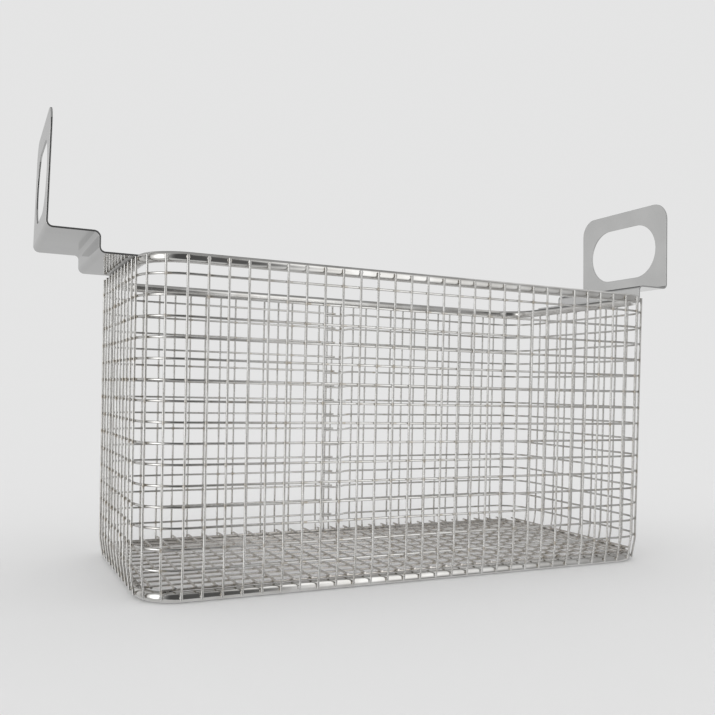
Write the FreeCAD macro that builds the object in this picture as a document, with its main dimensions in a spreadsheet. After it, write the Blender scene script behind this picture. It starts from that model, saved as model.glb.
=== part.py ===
import FreeCAD, Part
import math
import os
import Sketcher

# Ultrasonic cleaner basket: a welded wire mesh wall lapped at the rear, a mesh floor, a round rod
# ring inside the wall at the top and at the bottom, and a stepped sheet handle on each short end.
# Frame: X along the basket, -Y the front wall, +Y the rear wall with the seam, +Z up.
# The origin is the centre of the basket on the surface that its bottom rod stands on.

doc = FreeCAD.newDocument("ultrasonic_cleaner_basket")
sheet = doc.addObject("Spreadsheet::Sheet", "Sizes")

# Driving dimensions in millimetres, angles in degrees.
DRIVING_SIZES = {
    # The wall, measured at the plane where its uprights touch its hoops.
    "basket_length": 252.0,
    "basket_width": 113.5,
    "corner_radius": 17.5,
    "mesh_pitch": 8.0,
    "wire_diameter": 1.0,
    "upright_count": 89,
    "hoop_count": 15,
    "first_hoop_height": 12.7,
    "upright_foot_height": 1.3,
    "upright_top_height": 131.8,
    "lean_start_height": 10.9,
    "foot_lean": 1.4,
    "seam_place": -0.5,
    "seam_stub": 1.5,
    "contact_gap": 0.01,
    # The rods in the top and bottom rim.
    "rod_diameter": 4.2,
    "top_rod_height": 131.0,
    # The handles, one piece of bent sheet each.
    "plate": 0.8,
    "handle_width": 66.0,
    "strip_overlap": 2.6,
    "step_reach": 12.6,
    "step_rise": 8.0,
    "tab_reach": 32.0,
    "tab_top_height": 188.5,
    "tab_lean": 1.7,
    "bend_radius": 2.2,
    "tab_corner_radius": 9.5,
    "finger_hole_width": 50.4,
    "finger_hole_height": 29.3,
    "finger_hole_centre_height": 164.6,
}
for row, (alias, value) in enumerate(DRIVING_SIZES.items(), start=1):
    sheet.set(f"A{row}", alias)
    sheet.set(f"B{row}", str(value))
    sheet.setAlias(f"B{row}", alias)
doc.recompute()


def size(alias):
    """The value of one cell of the sheet."""
    return float(sheet.get(alias))


# Round wire and rod are drawn as bars with flat sides and the same section area, a flat side facing
# whatever they lie against, and the hoops' bends as straight runs: the mesh holds 30 metres of wire.
WIRE_SIDES = 6
ROD_SIDES = 12
HOOP_RUNS_PER_CORNER = 6
FLOOR_LONG_WIRES = 14
FLOOR_CROSS_WIRES = 31
FLOOR_MARGIN = 0.6
VERTICAL = FreeCAD.Vector(0, 0, 1)


def bar_radii(diameter, sides):
    """Centre to corner and centre to flat, for a bar of the section area of a round one."""
    area = math.pi * diameter ** 2 / 4
    to_corner = math.sqrt(2 * area / (sides * math.sin(2 * math.pi / sides)))
    return to_corner, to_corner * math.cos(math.pi / sides)


def corner_radius_expression(alias, sides):
    """The same centre to corner, worked out from a diameter in the sheet."""
    area = f"pi * {sheet.Name}.{alias} ^ 2 / 4"
    return f"sqrt(2 * {area} / ({sides} * sin(360 deg / {sides})))"


half_length = size("basket_length") / 2
half_width = size("basket_width") / 2
corner_radius = size("corner_radius")
pitch = size("mesh_pitch")
rod_corner, rod_flat = bar_radii(size("rod_diameter"), ROD_SIDES)
wire_corner, wire_flat = bar_radii(size("wire_diameter"), WIRE_SIDES)
gap = size("contact_gap")
wire_offset = wire_flat + gap

# The lean of the uprights' feet sets how far the bottom rod lies inside the wall.
lean_drop = size("lean_start_height") - size("upright_foot_height")
lean_angle = math.atan2(size("foot_lean"), lean_drop)
bottom_rod_lean = (size("lean_start_height") - rod_flat) * math.tan(lean_angle)
bottom_rod_inset = bottom_rod_lean + (rod_corner + gap) / math.cos(lean_angle)
top_rod_inset = rod_flat + gap

# The two ends of the mesh strip lap by what its length exceeds the wall's length round.
wall_round = 2 * (size("basket_length") + size("basket_width")) - (8 - 2 * math.pi) * corner_radius
strip_length = (size("upright_count") - 1) * pitch
seam_lap = strip_length - wall_round

sub_parts = []


def origin_plane(body, role):
    """One of the body's own base planes or axes."""
    return next(item for item in body.Origin.OriginFeatures if item.Role == role)


def new_body(label, placement):
    """An empty body for one sub-part, set in its place."""
    body = doc.addObject("PartDesign::Body", label)
    body.Label = label
    body.AllowCompound = True
    body.Placement = placement
    sub_parts.append(body)
    return body


def new_sketch(body, name, plane_role, offset=0.0):
    """An empty sketch on a base plane of the body, moved along the plane's normal."""
    sketch = body.newObject("Sketcher::SketchObject", name)
    sketch.AttachmentSupport = [(origin_plane(body, plane_role), "")]
    sketch.MapMode = "FlatFace"
    sketch.AttachmentOffset = FreeCAD.Placement(FreeCAD.Vector(0, 0, offset), FreeCAD.Rotation())
    return sketch


def bind(sketch, constraint, expression):
    """Add a dimension to the sketch and bind it to the sheet."""
    index = sketch.addConstraint(constraint)
    sketch.setExpression(f"Constraints[{index}]", expression)


def point(horizontal, vertical):
    """A point in a sketch's own plane."""
    return FreeCAD.Vector(horizontal, vertical, 0)


def placed(x, y, z, turn_deg=0.0):
    """A placement at a point, turned about the vertical."""
    return FreeCAD.Placement(FreeCAD.Vector(x, y, z), FreeCAD.Rotation(VERTICAL, turn_deg))


def add_bar_section(sketch, centre_x, centre_y, sides, alias):
    """A regular section of a bar with a flat side facing down the sketch; gives its centring circle."""
    to_corner, to_flat = bar_radii(size(alias), sides)
    corners = []
    for index in range(sides):
        angle = 2 * math.pi * (index - 0.5) / sides - math.pi / 2
        corners.append(point(centre_x + to_corner * math.cos(angle), centre_y + to_corner * math.sin(angle)))
    for index in range(sides):
        sketch.addGeometry(Part.LineSegment(corners[index], corners[(index + 1) % sides]), False)
    circle = sketch.addGeometry(Part.Circle(point(centre_x, centre_y), VERTICAL, to_corner), True)
    for index in range(sides):
        following = (index + 1) % sides
        sketch.addConstraint(Sketcher.Constraint("Coincident", index, 2, following, 1))
        sketch.addConstraint(Sketcher.Constraint("PointOnObject", index, 1, circle))
    for index in range(1, sides):
        sketch.addConstraint(Sketcher.Constraint("Equal", 0, index))
    sketch.addConstraint(Sketcher.Constraint("Horizontal", 0))
    bind(sketch, Sketcher.Constraint("Radius", circle, to_corner), corner_radius_expression(alias, sides))
    return circle


def place_section(sketch, circle, to_side, outward, expression):
    """Hold a section's centre: its way along the wall, and its way out, bound to the sheet."""
    if to_side:
        sketch.addConstraint(Sketcher.Constraint("DistanceX", -1, 1, circle, 3, to_side))
    else:
        sketch.addConstraint(Sketcher.Constraint("PointOnObject", circle, 3, -2))
    bind(sketch, Sketcher.Constraint("DistanceY", circle, 3, -1, 1, outward), expression)


def add_rounded_rectangle(sketch, half_x, half_y, radius, expression_x, expression_y, expression_radius):
    """A rounded rectangle about the sketch's origin, with its size bound to the sheet."""
    inner_x = half_x - radius
    inner_y = half_y - radius
    first_curve = sketch.GeometryCount
    centres = [point(inner_x, -inner_y), point(inner_x, inner_y),
               point(-inner_x, inner_y), point(-inner_x, -inner_y)]
    for index, centre in enumerate(centres):
        start = math.radians(90 * index - 90)
        circle = Part.Circle(centre, VERTICAL, radius)
        sketch.addGeometry(Part.ArcOfCircle(circle, start, start + math.pi / 2), False)
    for index in range(4):
        turn = math.radians(90 * index)
        outward = point(radius * math.cos(turn), radius * math.sin(turn))
        following = centres[(index + 1) % 4]
        sketch.addGeometry(Part.LineSegment(centres[index] + outward, following + outward), False)
    for index in range(4):
        arc = first_curve + index
        side = first_curve + 4 + index
        next_arc = first_curve + (index + 1) % 4
        sketch.addConstraint(Sketcher.Constraint("Tangent", arc, 2, side, 1))
        sketch.addConstraint(Sketcher.Constraint("Tangent", side, 2, next_arc, 1))
        sketch.addConstraint(Sketcher.Constraint("Vertical" if index % 2 == 0 else "Horizontal", side))
    for index in range(1, 4):
        sketch.addConstraint(Sketcher.Constraint("Equal", first_curve, first_curve + index))
    bind(sketch, Sketcher.Constraint("Radius", first_curve, radius), expression_radius)
    far_corner = first_curve + 1
    near_corner = first_curve + 3
    bind(sketch, Sketcher.Constraint("DistanceX", -1, 1, far_corner, 3, inner_x), expression_x)
    bind(sketch, Sketcher.Constraint("DistanceX", near_corner, 3, -1, 1, inner_x), expression_x)
    bind(sketch, Sketcher.Constraint("DistanceY", -1, 1, far_corner, 3, inner_y), expression_y)
    bind(sketch, Sketcher.Constraint("DistanceY", near_corner, 3, -1, 1, inner_y), expression_y)


def make_rim_rod(label, height, inset):
    """A rod bent to a closed ring that lies against the inside of the wall."""
    body = new_body(label, placed(0, 0, height))
    path = new_sketch(body, f"{label}_path", "XY_Plane")
    centre_x = f"{sheet.Name}.basket_length / 2 - {sheet.Name}.corner_radius"
    centre_y = f"{sheet.Name}.basket_width / 2 - {sheet.Name}.corner_radius"
    add_rounded_rectangle(path, half_length - inset, half_width - inset, corner_radius - inset,
                          centre_x, centre_y, f"{sheet.Name}.corner_radius - {inset}")
    section = new_sketch(body, f"{label}_section", "YZ_Plane")
    circle = add_bar_section(section, inset - half_width, 0.0, ROD_SIDES, "rod_diameter")
    section.addConstraint(Sketcher.Constraint("PointOnObject", circle, 3, -1))
    bind(section, Sketcher.Constraint("DistanceX", circle, 3, -1, 1, half_width - inset),
         f"{sheet.Name}.basket_width / 2 - {inset}")
    ring = body.newObject("PartDesign::AdditivePipe", f"{label}_ring")
    ring.Profile = section
    ring.Spine = (path, [f"Edge{index + 1}" for index in range(path.GeometryCount)])
    return body


def make_uprights(label, kind, count, placement, to_side):
    """A run of wall uprights, straight along X or round a corner about the body's own axis.

    The body's -Y side faces out of the basket, and the wall lies one corner radius from its axis.
    Each upright is straight down to just under the lowest hoop, and leans in there to pass the rod.
    """
    body = new_body(label, placement)
    wall_line = f"{sheet.Name}.corner_radius + {wire_offset}"
    stations = (
        ("foot", size("upright_foot_height"), size("foot_lean"), f"{wall_line} - {sheet.Name}.foot_lean"),
        ("bend", size("lean_start_height"), 0.0, wall_line),
        ("top", size("upright_top_height"), 0.0, wall_line),
    )
    sections = []
    for name, height, lean, expression in stations:
        sketch = new_sketch(body, f"{label}_{name}", "XY_Plane", height)
        outward = corner_radius + wire_offset - lean
        circle = add_bar_section(sketch, to_side, -outward, WIRE_SIDES, "wire_diameter")
        place_section(sketch, circle, to_side, outward, expression)
        sections.append(sketch)
    upright = body.newObject("PartDesign::AdditiveLoft", f"{label}_upright")
    upright.Profile = sections[0]
    upright.Sections = sections[1:]
    upright.Ruled = True
    if kind == "corner":
        run = body.newObject("PartDesign::PolarPattern", f"{label}_run")
        run.Axis = (origin_plane(body, "Z_Axis"), [""])
        step = f"{sheet.Name}.mesh_pitch / {sheet.Name}.corner_radius * 180 deg / pi"
        run.setExpression("Angle", f"{count - 1} * {step}")
    else:
        run = body.newObject("PartDesign::LinearPattern", f"{label}_run")
        run.Direction = (origin_plane(body, "X_Axis"), [""])
        run.setExpression("Length", f"{sheet.Name}.mesh_pitch * {count - 1}")
    run.Originals = [upright]
    run.Occurrences = count
    body.Tip = run
    return body


def make_wall_uprights():
    """All the uprights, along the wall from the seam round by the left, the front and the right."""
    inner_x = half_length - corner_radius
    inner_y = half_width - corner_radius
    seam = size("seam_place")
    quarter = corner_radius * math.pi / 2
    stretches = (
        ("rear_left_uprights", "straight", 180, seam, inner_y, inner_x + seam),
        ("rear_left_corner_uprights", "corner", 180, -inner_x, inner_y, quarter),
        ("left_wall_uprights", "straight", 270, -inner_x, inner_y, 2 * inner_y),
        ("front_left_corner_uprights", "corner", 270, -inner_x, -inner_y, quarter),
        ("front_wall_uprights", "straight", 0, -inner_x, -inner_y, 2 * inner_x),
        ("front_right_corner_uprights", "corner", 0, inner_x, -inner_y, quarter),
        ("right_wall_uprights", "straight", 90, inner_x, -inner_y, 2 * inner_y),
        ("rear_right_corner_uprights", "corner", 90, inner_x, inner_y, quarter),
        ("rear_right_uprights", "straight", 180, inner_x, inner_y, strip_length),
    )
    travelled = 0.0
    next_upright = 0
    for label, kind, turn, x, y, length in stretches:
        first = next_upright * pitch - travelled
        count = 0
        while next_upright * pitch <= min(travelled + length, strip_length):
            next_upright += 1
            count += 1
        if kind == "corner":
            turn += math.degrees(first / corner_radius)
            first = 0.0
        make_uprights(label, kind, count, placed(x, y, 0, turn), first)
        travelled += length


def hoop_path():
    """The line of one hoop: an open ring whose two ends lie one above the other at the seam."""
    path = [FreeCAD.Vector(size("seam_place") + size("seam_stub"), half_width - wire_offset, 0)]
    radius = corner_radius - wire_offset
    centres = ((-1, 1, 90), (-1, -1, 180), (1, -1, 270), (1, 1, 0))
    for side_x, side_y, start_deg in centres:
        for run in range(HOOP_RUNS_PER_CORNER + 1):
            angle = math.radians(start_deg + 90 * run / HOOP_RUNS_PER_CORNER)
            path.append(FreeCAD.Vector(side_x * (half_length - corner_radius) + radius * math.cos(angle),
                                       side_y * (half_width - corner_radius) + radius * math.sin(angle), 0))
    lap_end = size("seam_place") - seam_lap - size("seam_stub")
    lap_drop = 2 * wire_corner + gap
    rear = half_width - wire_offset
    path.append(FreeCAD.Vector(lap_end + 2 * pitch, rear, 0))
    path.append(FreeCAD.Vector(lap_end + pitch, rear, -lap_drop))
    path.append(FreeCAD.Vector(lap_end, rear, -lap_drop))
    return path


def bent_wire(path):
    """A wire of hexagonal section along straight runs, mitred where two runs meet."""
    directions = [(path[i + 1] - path[i]).normalize() for i in range(len(path) - 1)]
    sideways = directions[0].cross(VERTICAL).normalize()
    upwards = sideways.cross(directions[0]).normalize()
    ring = []
    for index in range(WIRE_SIDES):
        angle = 2 * math.pi * index / WIRE_SIDES
        ring.append(path[0] + sideways * (wire_corner * math.sin(angle))
                    + upwards * (wire_corner * math.cos(angle)))
    faces = [Part.Face(Part.makePolygon(ring + ring[:1]))]
    for index, direction in enumerate(directions):
        end = path[index + 1]
        following = directions[min(index + 1, len(directions) - 1)]
        mitre = (direction + following).normalize()
        next_ring = []
        for corner in ring:
            reach = (end - corner).dot(mitre) / direction.dot(mitre)
            next_ring.append(corner + direction * reach)
        for side in range(WIRE_SIDES):
            other = (side + 1) % WIRE_SIDES
            outline = [ring[side], ring[other], next_ring[other], next_ring[side], ring[side]]
            faces.append(Part.Face(Part.makePolygon(outline)))
        ring = next_ring
    faces.append(Part.Face(Part.makePolygon(ring + ring[:1])))
    solid = Part.makeSolid(Part.makeShell(faces))
    if solid.Volume < 0:
        solid.reverse()
    return solid


def make_hoop(number, solid):
    """One horizontal wire of the wall."""
    hoop = doc.addObject("Part::Feature", f"wall_hoop_{number:02d}")
    hoop.Label = f"wall_hoop_{number:02d}"
    hoop.Shape = solid
    hoop.Placement = placed(0, 0, size("first_hoop_height") + (number - 1) * pitch)
    sub_parts.append(hoop)
    return hoop


def make_floor_wires(label, plane_role, count, height, half_run, axis_role):
    """One layer of the floor panel, trimmed to the panel's rounded outline."""
    body = new_body(label, placed(0, 0, height))
    section = new_sketch(body, f"{label}_section", plane_role)
    first = (count - 1) * pitch / 2
    circle = add_bar_section(section, -first, 0.0, WIRE_SIDES, "wire_diameter")
    bind(section, Sketcher.Constraint("DistanceX", circle, 3, -1, 1, first),
         f"{sheet.Name}.mesh_pitch * {(count - 1) / 2}")
    section.addConstraint(Sketcher.Constraint("PointOnObject", circle, 3, -1))
    wire = body.newObject("PartDesign::Pad", f"{label}_wire")
    wire.Profile = section
    wire.SideType = "Symmetric"
    wire.Length = 2 * half_run
    layer = body.newObject("PartDesign::LinearPattern", f"{label}_layer")
    layer.Originals = [wire]
    layer.Direction = (origin_plane(body, axis_role), [""])
    layer.setExpression("Length", f"{sheet.Name}.mesh_pitch * {count - 1}")
    layer.Occurrences = count
    body.Tip = layer
    outline = new_sketch(body, f"{label}_outline", "XY_Plane")
    add_floor_outline(outline)
    trim = body.newObject("PartDesign::Pocket", f"{label}_trim")
    trim.Profile = outline
    trim.SideType = "Symmetric"
    trim.Type = "ThroughAll"
    body.Tip = trim
    return body


def add_floor_outline(sketch):
    """The panel's rounded outline, with a wide margin round it that is cut away."""
    inset = bottom_rod_inset - rod_flat + FLOOR_MARGIN
    add_rounded_rectangle(sketch, half_length - inset, half_width - inset, corner_radius - inset,
                          f"{sheet.Name}.basket_length / 2 - {sheet.Name}.corner_radius",
                          f"{sheet.Name}.basket_width / 2 - {sheet.Name}.corner_radius",
                          f"{sheet.Name}.corner_radius - {inset}")
    add_rounded_rectangle(sketch, half_length + corner_radius, half_width + corner_radius, corner_radius,
                          f"{sheet.Name}.basket_length / 2", f"{sheet.Name}.basket_width / 2",
                          f"{sheet.Name}.corner_radius")


def make_handle(label, turn_deg):
    """A handle: a strip on the rim rod, a step up, a shelf outwards and an upright tab with a hole."""
    body = new_body(label, placed(0, 0, 0, turn_deg))
    mid = size("plate") / 2
    strip_z = size("top_rod_height") + rod_flat + gap + mid
    shelf_z = strip_z + size("step_rise")
    start_x = half_length - size("strip_overlap")
    step_x = half_length + size("step_reach")
    tab_x = half_length + size("tab_reach")
    bend = size("bend_radius")
    lean = math.radians(size("tab_lean"))
    tab_top = point(tab_x - (size("tab_top_height") - shelf_z) * math.tan(lean), size("tab_top_height"))
    corners = [point(start_x, strip_z), point(step_x, strip_z), point(step_x, shelf_z),
               point(tab_x, shelf_z), tab_top]
    spine = new_sketch(body, f"{label}_spine", "XZ_Plane")
    add_bent_line(spine, corners, bend)
    section = new_sketch(body, f"{label}_section", "YZ_Plane", start_x)
    add_plate_section(section, strip_z)
    plate = body.newObject("PartDesign::AdditivePipe", f"{label}_plate")
    plate.Profile = section
    plate.Spine = (spine, [f"Edge{index + 1}" for index in range(spine.GeometryCount)])
    doc.recompute()
    rounding = body.newObject("PartDesign::Fillet", f"{label}_tab_corners")
    rounding.Base = (plate, tab_corner_edges(plate.Shape))
    rounding.setExpression("Radius", f"{sheet.Name}.tab_corner_radius")
    hole_outline = new_sketch(body, f"{label}_hole_outline", "YZ_Plane")
    add_finger_hole(hole_outline)
    hole = body.newObject("PartDesign::Pocket", f"{label}_finger_hole")
    hole.Profile = hole_outline
    hole.SideType = "Symmetric"
    hole.Type = "ThroughAll"
    body.Tip = hole
    return body


def add_bent_line(sketch, corners, radius):
    """A line through the corners with each corner bent to the radius."""
    start = corners[0]
    for index in range(1, len(corners) - 1):
        before = (corners[index] - corners[index - 1]).normalize()
        after = (corners[index + 1] - corners[index]).normalize()
        turn = before.getAngle(after)
        setback = radius * math.tan(turn / 2)
        arc_start = corners[index] - before * setback
        arc_end = corners[index] + after * setback
        towards_centre = (after - before).normalize()
        arc_middle = corners[index] + towards_centre * (radius / math.cos(turn / 2) - radius)
        sketch.addGeometry(Part.LineSegment(start, arc_start), False)
        sketch.addGeometry(Part.Arc(arc_start, arc_middle, arc_end), False)
        start = arc_end
    sketch.addGeometry(Part.LineSegment(start, corners[-1]), False)


def add_plate_section(sketch, height):
    """The sheet's cross-section at the start of the strip."""
    half_handle = size("handle_width") / 2
    mid = size("plate") / 2
    corners = [point(-half_handle, height - mid), point(half_handle, height - mid),
               point(half_handle, height + mid), point(-half_handle, height + mid)]
    for index in range(4):
        sketch.addGeometry(Part.LineSegment(corners[index], corners[(index + 1) % 4]), False)
    for index in range(4):
        sketch.addConstraint(Sketcher.Constraint("Coincident", index, 2, (index + 1) % 4, 1))
    sketch.addConstraint(Sketcher.Constraint("Horizontal", 2))
    sketch.addConstraint(Sketcher.Constraint("Vertical", 1))
    sketch.addConstraint(Sketcher.Constraint("Vertical", 3))
    sketch.addConstraint(Sketcher.Constraint("Symmetric", 0, 1, 0, 2, -2))
    bind(sketch, Sketcher.Constraint("DistanceX", 0, 1, 0, 2, 2 * half_handle), f"{sheet.Name}.handle_width")
    bind(sketch, Sketcher.Constraint("DistanceY", 1, 1, 1, 2, 2 * mid), f"{sheet.Name}.plate")
    bind(sketch, Sketcher.Constraint("DistanceY", -1, 1, 0, 1, height - mid),
         f"{sheet.Name}.top_rod_height + {rod_flat} + {sheet.Name}.contact_gap")


def tab_corner_edges(shape):
    """The two short edges through the sheet at the top corners of the tab."""
    names = []
    for index, edge in enumerate(shape.Edges, start=1):
        short = edge.Length < 2 * size("plate")
        high = edge.CenterOfMass.z > size("tab_top_height") - size("plate")
        if short and high:
            names.append(f"Edge{index}")
    return names


def add_finger_hole(sketch):
    """The obround finger hole of the tab."""
    radius = size("finger_hole_height") / 2
    reach = size("finger_hole_width") / 2 - radius
    centre_z = size("finger_hole_centre_height")
    right = Part.Circle(point(reach, centre_z), VERTICAL, radius)
    left = Part.Circle(point(-reach, centre_z), VERTICAL, radius)
    sketch.addGeometry(Part.ArcOfCircle(right, -math.pi / 2, math.pi / 2), False)
    sketch.addGeometry(Part.ArcOfCircle(left, math.pi / 2, 3 * math.pi / 2), False)
    upper = centre_z + radius
    lower = centre_z - radius
    sketch.addGeometry(Part.LineSegment(point(reach, upper), point(-reach, upper)), False)
    sketch.addGeometry(Part.LineSegment(point(-reach, lower), point(reach, lower)), False)
    sketch.addConstraint(Sketcher.Constraint("Tangent", 0, 2, 2, 1))
    sketch.addConstraint(Sketcher.Constraint("Tangent", 2, 2, 1, 1))
    sketch.addConstraint(Sketcher.Constraint("Tangent", 1, 2, 3, 1))
    sketch.addConstraint(Sketcher.Constraint("Tangent", 3, 2, 0, 1))
    sketch.addConstraint(Sketcher.Constraint("Horizontal", 2))
    bind(sketch, Sketcher.Constraint("Radius", 0, radius), f"{sheet.Name}.finger_hole_height / 2")
    spread = f"({sheet.Name}.finger_hole_width - {sheet.Name}.finger_hole_height) / 2"
    bind(sketch, Sketcher.Constraint("DistanceX", -1, 1, 0, 3, reach), spread)
    bind(sketch, Sketcher.Constraint("DistanceX", 1, 3, -1, 1, reach), spread)
    bind(sketch, Sketcher.Constraint("DistanceY", -1, 1, 0, 3, centre_z),
         f"{sheet.Name}.finger_hole_centre_height")


make_rim_rod("bottom_rim_rod", rod_flat, bottom_rod_inset)
make_rim_rod("top_rim_rod", size("top_rod_height"), top_rod_inset)
make_wall_uprights()
hoop_solid = bent_wire(hoop_path())
for hoop_number in range(1, int(size("hoop_count")) + 1):
    make_hoop(hoop_number, hoop_solid)
long_wire_height = 2 * rod_flat + wire_offset
cross_wire_height = long_wire_height + wire_flat + wire_offset
make_floor_wires("floor_long_wires", "YZ_Plane", FLOOR_LONG_WIRES, long_wire_height, half_length, "Y_Axis")
make_floor_wires("floor_cross_wires", "XZ_Plane", FLOOR_CROSS_WIRES, cross_wire_height, half_width, "X_Axis")
make_handle("right_handle", 0)
make_handle("left_handle", 180)
doc.recompute()

for item in doc.Objects:
    failed = [state for state in item.State if state in ("Invalid", "Error")]
    if failed:
        raise RuntimeError(f"{item.Label} is {failed}")
for sub_part in sub_parts:
    shape = sub_part.Shape
    if shape.isNull() or not shape.isValid():
        raise RuntimeError(f"{sub_part.Label} has no valid shape")

os.makedirs("parts", exist_ok=True)
for sub_part in sub_parts:
    sub_part.Shape.exportStep(f"parts/{sub_part.Label}.step")
    box = sub_part.Shape.BoundBox
    print(f"{sub_part.Label}: {len(sub_part.Shape.Solids)} solids, {sub_part.Shape.Volume:.1f} mm3, "
          f"x {box.XMin:.2f}..{box.XMax:.2f}, y {box.YMin:.2f}..{box.YMax:.2f}, "
          f"z {box.ZMin:.2f}..{box.ZMax:.2f}")
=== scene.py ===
import math
import bmesh
import bpy
from mathutils import Matrix, Vector


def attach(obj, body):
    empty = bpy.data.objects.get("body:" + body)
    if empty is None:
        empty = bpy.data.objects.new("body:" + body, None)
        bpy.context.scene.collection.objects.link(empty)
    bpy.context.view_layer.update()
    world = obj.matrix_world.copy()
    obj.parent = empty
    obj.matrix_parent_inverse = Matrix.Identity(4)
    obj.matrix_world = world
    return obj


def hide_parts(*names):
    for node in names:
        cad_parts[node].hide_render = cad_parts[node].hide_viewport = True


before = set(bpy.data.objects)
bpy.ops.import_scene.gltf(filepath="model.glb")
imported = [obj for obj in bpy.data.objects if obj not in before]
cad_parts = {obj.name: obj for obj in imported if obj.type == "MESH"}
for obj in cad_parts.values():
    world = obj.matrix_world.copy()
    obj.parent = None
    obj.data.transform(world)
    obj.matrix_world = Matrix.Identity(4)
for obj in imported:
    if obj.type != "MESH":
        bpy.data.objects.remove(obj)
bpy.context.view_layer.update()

bl_info = {
    "name": "Ultrasonic Cleaner Basket",
    "version": (1, 0, 0),
    "blender": (4, 5, 0),
    "location": "View3D > Sidebar > Basket",
    "description": "Dresses the welded wire basket: wires, rims, floor, handles, welds and studio",
    "category": "Object",
}

MM = 0.001
BODY = "root"
UP = Vector((0.0, 0.0, 1.0))

# Where the photograph was taken from, in metres and degrees. The yaw runs from +Y towards +X.
CAMERA_PLACE = Vector((-0.18350, -0.35931, 0.08244))
CAMERA_YAW = 25.668
CAMERA_PITCH = -0.832
CAMERA_ROLL = 1.278
CAMERA_LENS = 40.81
CAMERA_SHIFT = (-0.0008, 0.0620)

# A long floor wire's centre above the rod, in wire radii, and a cross wire's above a long wire's, in
# wire diameters. What is missing to 1 is how deep their welds sink them.
LONG_WIRE_BED = 0.9
CROSS_WIRE_BED = 0.95

# How much lower the hoops' last ends lie at the rear lap, in wire diameters.
LAP_DROP = 1.05

# A hoop has this many faces fewer round it than an upright.
HOOP_FACES_LESS = 2

# The welded wires run true at the rims and wander fully from this far inside them, in metres.
STRAY_FADE = 0.018

# The least and the most of a nugget's width, as a part of the width asked for. The seed of its
# second width lies NEXT_SEED further on than the first one's.
NUGGET_SIZES = (0.82, 1.18)
NEXT_SEED = 11

# The handles' sheet, in degrees: faces that turn less than FLAT_TURN are one face, edges that turn
# more than EDGE_TURN are broken, and the shading breaks where two faces turn more than SHADING_TURN.
FLAT_TURN = 0.6
EDGE_TURN = 40.0
SHADING_TURN = 55.0

# The steels of wires, rods and welds: their two tones, lowest and highest roughness, how deep their
# scratches look, and whether the heat of the welds tints them.
STEELS = {
    # The uprights' two tones are the hoops' steel painted lighter. This is painted light for the side
    # lights that the uprights catch.
    "upright_steel_painted_lighter": ("upright_bright_painted_lighter", "upright_dull_painted_lighter", (0.15, 0.32), 0.10, True),
    "hoop_steel": ("steel_bright", "steel_dull", (0.10, 0.26), 0.10, True),
    "floor_wire_steel": ("floor_bright", "floor_dull", (0.14, 0.30), 0.12, True),
    "polished_rod_steel": ("steel_bright", "steel_dull", (0.05, 0.13), 0.05, False),
    "weld_steel": ("steel_bright", "heat_tint", (0.20, 0.34), 0.20, False),
}
# How far from a weld the heat tint is full, and how far it reaches, in pitches of the mesh.
HEAT_REACH = (0.06, 0.15)

# The studio's standing panels: where each starts and ends on the floor plan, its heights (lower edge,
# full glow from and to, upper edge), and its glow at places from its start, 0, to its end, 1.
PANELS = {
    "soft_light_right": (
        ((0.069, -0.541), (0.223, -0.076)),
        (-0.38, -0.04, 0.46, 0.76),
        (
            (0.0, 0.12),
            (0.08, 0.36),
            (0.15, 0.80),
            (0.21, 1.10),
            (0.31, 1.50),
            (0.51, 1.48),
            (0.57, 1.20),
            (0.68, 0.93),
            (0.77, 0.62),
            (0.83, 0.50),
            (1.0, 0.42),
        ),
    ),
    "dark_card_front": (
        ((-1.0, -0.80), (0.069, -0.541)),
        (-0.50, -0.50, 1.20, 1.20),
        ((0.0, 0.50), (0.28, 0.32), (0.42, 0.16), (0.54, 0.09), (0.92, 0.10), (1.0, 0.14)),
    ),
    "soft_light_left": (
        ((-1.0, 0.50), (-1.0, -0.80)),
        (-0.60, -0.20, 0.50, 0.95),
        (
            (0.0, 0.50),
            (0.19, 0.60),
            (0.34, 0.80),
            (0.42, 1.10),
            (0.49, 1.70),
            (0.57, 2.60),
            (0.73, 2.60),
            (0.82, 2.10),
            (0.92, 1.10),
            (1.0, 0.60),
        ),
    ),
    "grey_card_side": (
        ((0.90, -0.45), (1.00, 0.70)),
        (-0.40, -0.40, 0.90, 0.90),
        ((0.0, 0.48), (1.0, 0.52)),
    ),
    "dark_card_back": (
        ((-0.13, 1.30), (1.10, 1.30)),
        (0.38, 0.38, 1.80, 1.80),
        ((0.0, 0.16), (1.0, 0.16)),
    ),
    "grey_card_back": (
        ((-0.70, 1.32), (0.16, 1.32)),
        (-0.55, -0.55, 1.80, 1.80),
        ((0.0, 0.58), (1.0, 0.53)),
    ),
}
# Grey cards that lie flat, one high above the basket and one deep below it: height, reach and glow.
FLAT_CARDS = {
    "grey_card_above": (1.25, 0.80, 0.42),
    "grey_card_below": (-0.62, 1.70, 0.67),
}
# The part of its full glow that a soft light keeps at its upper and lower edge.
EDGE_GLOW = 0.45


# Node trees


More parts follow.
